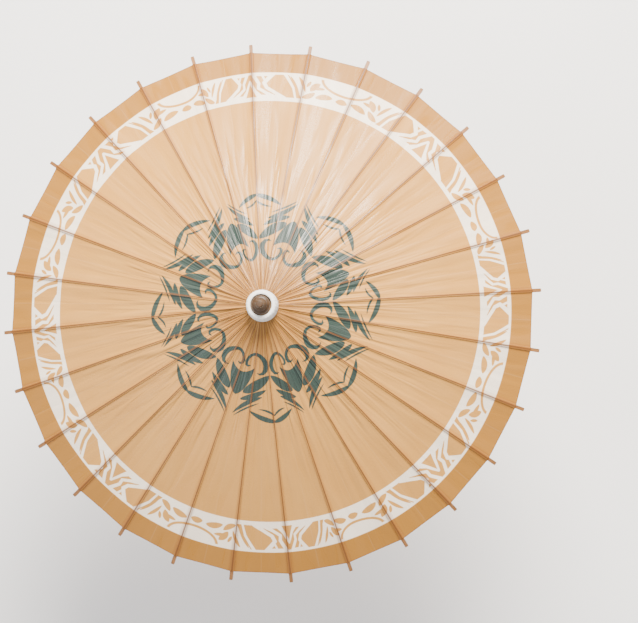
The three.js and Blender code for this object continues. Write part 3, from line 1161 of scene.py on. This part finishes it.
def paper_mesh(name, rows, places, marks):
    """A grid of paper from rows of points, with each point's place on the print and in its gore."""
    across = len(places) // rows
    faces = []
    for i in range(rows - 1):
        for j in range(across - 1):
            a = i * across + j
            faces.append((a, a + 1, a + across + 1, a + across))
    mesh = bpy.data.meshes.new(name)
    mesh.from_pydata(places, [], faces)
    if mesh.polygons[len(faces) // 2].normal.z < 0:
        mesh.flip_normals()
    mesh.shade_smooth()
    print_place = mesh.attributes.new("print_place", "FLOAT_VECTOR", "POINT")
    gore_place = mesh.attributes.new("gore_place", "FLOAT_VECTOR", "POINT")
    for i, (place, mark) in enumerate(zip(places, marks)):
        print_place.data[i].vector = (place[0], place[1], 0)
        gore_place.data[i].vector = mark
    mesh.materials.append(paper)
    obj = show(bpy.data.objects.new(name, mesh))
    return obj


def crisp_edges():
    """A geometry group that shades the paper's cut edges apart from its faces."""
    group = bpy.data.node_groups.new("crisp cut edges", "GeometryNodeTree")
    group.interface.new_socket(name="Geometry", in_out="INPUT", socket_type="NodeSocketGeometry")
    group.interface.new_socket(name="Geometry", in_out="OUTPUT", socket_type="NodeSocketGeometry")
    fold = group.nodes.new("GeometryNodeInputMeshEdgeAngle").outputs["Unsigned Angle"]
    steep = calc(group, "GREATER_THAN", fold, CUT_ANGLE)
    shade = group.nodes.new("GeometryNodeSetShadeSmooth")
    shade.domain = "EDGE"
    settle(shade, Shade_Smooth=False)
    plug(group, group.nodes.new("NodeGroupInput").outputs[0], shade.inputs[0])
    plug(group, steep, shade.inputs["Selection"])
    plug(group, shade.outputs[0], group.nodes.new("NodeGroupOutput").inputs[0])
    return group


crisp = crisp_edges()


def thicken(obj):
    step = obj.modifiers.new("thickness", "SOLIDIFY")
    step.thickness = PAPER_THICK
    step.offset = -1
    obj.modifiers.new("edges", "NODES").node_group = crisp


def stations():
    return [PAPER_START + (PAPER_END - PAPER_START) * (i / STATIONS) for i in range(STATIONS + 1)]


def ridge_strip(k):
    """The paper over one rib. Its section is in points aside of the rib, with each one's share of
    the fall to the strip's edges and its mark for how near the top it is.
    """
    places, marks = [], []
    for s in stations():
        top = bow(s) + RIB_HALF_DEPTH + OVER_RIB
        rib, half = rib_half_width(s), strip_half_width(s)
        half_section = [
            (0, -0.15, 1.0), (rib * 0.5, 0.0, 0.5), (rib, 0.12, 0.4),
            ((half + rib) / 2, 0.55, 0.3), (half, 1.0, 0.0),
        ]
        other_half = [(-aside, fall, ridge) for aside, fall, ridge in reversed(half_section[1:])]
        for aside, fall, ridge in other_half + half_section:
            places.append(turned(on_rib(s, top - fall * strip_drop(s), aside), k * STEP))
            marks.append((ridge, 0, s))
    return paper_mesh(f"paper_ridge_{k + 1:02d}", STATIONS + 1, places, marks)


def half_gore(k, side, part):
    """The paper from a strip's edge to the gore's middle crease, over one part of the rib's length."""
    half_step = STEP / 2
    places, marks, widths = [], [], []
    first, last = PARTS[part]
    rows = stations()[first : last + 1]
    for s in rows:
        level = bow(s) + RIB_HALF_DEPTH + OVER_RIB - strip_drop(s)
        out, aside, up = on_rib(s, level, strip_half_width(s))
        reach = out * math.cos(half_step) + aside * math.sin(half_step)
        mid_out, mid_aside = reach * math.cos(half_step), reach * math.sin(half_step)
        widths.append(math.hypot(mid_out - out, mid_aside - aside))
        depth = HUB_VALLEY * clear_of_hub(s) + VALLEY * s / PAPER_END
        for j in range(GORE_COLUMNS):
            v = j / (GORE_COLUMNS - 1)
            ripple = noise.noise(Vector((v * 2.5 + 9.1 * k, s * 9, side * 5.3))) * RIPPLE
            ripple *= math.sin(math.pi * v) * min(1, s / 0.12)
            local = (
                out + (mid_out - out) * v,
                side * (aside + (mid_aside - aside) * v),
                up - depth * math.sin(math.pi / 2 * v) + ripple,
            )
            places.append(turned(local, k * STEP))
            marks.append((0, v, s))
    length = rows[-1] - rows[0]
    name = f"paper_gore_{k + 1:02d}_{'left' if side > 0 else 'right'}_{part}"
    obj = paper_mesh(name, len(rows), places, marks)
    area = sum((a + b) / 2 for a, b in zip(widths, widths[1:])) * length / (len(rows) - 1)
    return obj, max(widths), length, area


for k in range(RIBS):
    rib = f"rib_{k + 1:02d}"
    strip = ridge_strip(k)
    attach(strip, rib)
    thicken(strip)
    if k == 0:
        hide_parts("canopy")
    angle = k * STEP
    for side in (1, -1):
        for part, (set_at, set_out, lean, spread) in FOLDS.items():
            gore, width, length, area = half_gore(k, side, part)
            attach(gore, rib)
            level = bow(set_at) + RIB_HALF_DEPTH + OVER_RIB - strip_drop(set_at)
            edge = turned(on_rib(set_at, level, side * (strip_half_width(set_at) + set_out)), angle)
            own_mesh(gore)
            thicken(gore)


# --- Collar and finial --------------------------------------------------------
# A white cloth band is pasted round the canopy's middle, over the hub. A turned
# wooden finial sits on the shaft's end above it.
def weave_group():
    """Plain woven cloth from two crossing sets of threads."""
    group, ins, outs = new_group("plain weave", {"Warp": 0.0, "Weft": 0.0}, ["Height"])
    over = calc(group, "SINE", times(group, ins["Warp"], math.pi))
    under = calc(group, "SINE", times(group, ins["Weft"], math.pi))
    crossing = times(group, over, under)
    plug(group, calc(group, "MULTIPLY_ADD", crossing, 0.5, 0.5), outs["Height"])
    return group


def cloth_look():
    made, tree, shader = fresh_material("collar cloth")
    place = object_place(tree)
    xyz = put(tree, "ShaderNodeSeparateXYZ", Vector=place).outputs
    angle = calc(tree, "ARCTAN2", xyz[1], xyz[0])
    warp, weft = times(tree, angle, 60.0), times(tree, xyz[2], 2600.0)
    woven = use_group(tree, weave_group(), Warp=warp, Weft=weft)["Height"]
    cloud = specks(tree, place, 90.0, 4.0)
    plug(tree, between(tree, cloud, linear(0xFDFBF5), linear(0xEDE7DC)), shader.inputs["Base Color"])
    lumps = calc(tree, "MULTIPLY_ADD", cloud, 2.0, woven)
    bump = put(tree, "ShaderNodeBump", Height=lumps, Strength=0.5, Distance=0.0004)
    plug(tree, bump.outputs[0], shader.inputs["Normal"])
    plug(tree, calc(tree, "MULTIPLY_ADD", cloud, 0.2, 0.6), shader.inputs["Roughness"])
    settle(shader, Sheen_Weight=0.3)
    return made


COLLAR_OUTLINE = [
    (23.2, 507.2), (22.9, 514), (22.6, 522), (21.9, 530.5), (21.2, 533.8), (19.8, 535.6), (17.8, 536.3),
    (16.0, 536.3), (15.2, 535.4), (15.2, 534.4), (17.4, 534.4), (19.6, 532.6), (20.5, 530), (21.8, 507.2),
]
COLLAR_FOOT, RUFFLE_START = 0.508, 0.0152  # the ruffle fades in over these, up and outwards
collar = turned_mesh("collar_cloth", rounded(metres(COLLAR_OUTLINE), 0.0006, 2), 112)
for vert in collar.data.vertices:
    angle = math.atan2(vert.co.y, vert.co.x)
    up = max(0, min(1, (vert.co.z - COLLAR_FOOT) / 0.02))
    outwards = max(0, min(1, (math.hypot(vert.co.x, vert.co.y) - RUFFLE_START) / 0.004))
    share = up * outwards
    lump = noise.noise(Vector((3 * math.cos(angle), 3 * math.sin(angle), vert.co.z * 60)))
    ruffle = 0.00022 * math.sin(RIBS * angle) + 0.0003 * lump
    push = 1 + ruffle * share / 0.022
    vert.co.x *= push
    vert.co.y *= push
collar.data.materials.append(cloth_look())
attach(collar, "frame")
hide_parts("collar")

FINIAL_OUTLINE = [
    (0, 551), (4.15, 551), (4.15, 536.6), (13.4, 536.6), (13.8, 537.2), (13.8, 538.3), (13.3, 539.6),
    (12.4, 541.2), (10.4, 542.5), (9.1, 543.1), (9.3, 544), (9.6, 545.8), (9.3, 547.2), (8.2, 548.4),
    (6.6, 551), (5.5, 554.2), (5.15, 558), (5.2, 561), (5.1, 563.2), (4.4, 564.35), (0, 564.4),
]
finial = turned_mesh("finial_wood", rounded(metres(FINIAL_OUTLINE), 0.0004, 3), 64)
dark_wood = wood_look(
    "turned finial", upright(240, 22),
    dark=0x170C03, light=0x553710, pore=0x0C0602,
    pores=7.0, roughness=0.36, coat=0.05,
)
finial.data.materials.append(dark_wood)
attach(finial, "frame")
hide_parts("finial")


# --- Floor and light ----------------------------------------------------------
# A pale, even floor under the tassel, and soft studio light from the top of the
# view, a little to the right, with a weaker fill from all round.
FLOOR_Z = -0.26
FLOOR_HALF = 6.0
KEY_WATTS, FILL_WATTS, WORLD_STRENGTH = 480, 60, 0.85


def floor_look():
    made, tree, shader = fresh_material("floor")
    place = object_place(tree)
    cloud = specks(tree, place, 3.0, 2.0)
    plug(tree, between(tree, cloud, linear(0xF4F4F3), linear(0xFAFAF9)), shader.inputs["Base Color"])
    plug(tree, calc(tree, "MULTIPLY_ADD", cloud, 0.05, 0.8), shader.inputs["Roughness"])
    return made


def lamp(name, direction, distance, size, watts, colour):
    light = bpy.data.lights.new(name, "AREA")
    light.shape = "DISK"
    light.size = size
    light.energy = watts
    light.color = linear(colour)[:3]
    obj = show(bpy.data.objects.new(name, light))
    away = Vector(direction).normalized()
    obj.location = Vector((0, 0, 0.3)) + away * distance
    obj.rotation_euler = away.to_track_quat("Z", "Y").to_euler()
    return obj


floor_mesh = bpy.data.meshes.new("floor")
corners = [(x * FLOOR_HALF, y * FLOOR_HALF, FLOOR_Z) for x, y in ((-1, -1), (1, -1), (1, 1), (-1, 1))]
floor_mesh.from_pydata(corners, [], [(0, 1, 2, 3)])
floor = show(bpy.data.objects.new("floor", floor_mesh))
floor.data.materials.append(floor_look())
key_side = view_up * 1.1 + view_right * 0.18 + Vector((0, 0, 1.15))
fill_side = -view_up * 0.6 - view_right * 0.9 + Vector((0, 0, 1.8))
key = lamp("key", key_side, 3.2, 1.7, KEY_WATTS, 0xFFF8EE)
fill = lamp("fill", fill_side, 3.4, 3.0, FILL_WATTS, 0xF6F8FF)

world = bpy.data.worlds.new("world")
bpy.context.scene.world = world
world.use_nodes = True
world.node_tree.nodes["Background"].inputs["Color"].default_value = linear(0xFAFAFC)
world.node_tree.nodes["Background"].inputs["Strength"].default_value = WORLD_STRENGTH
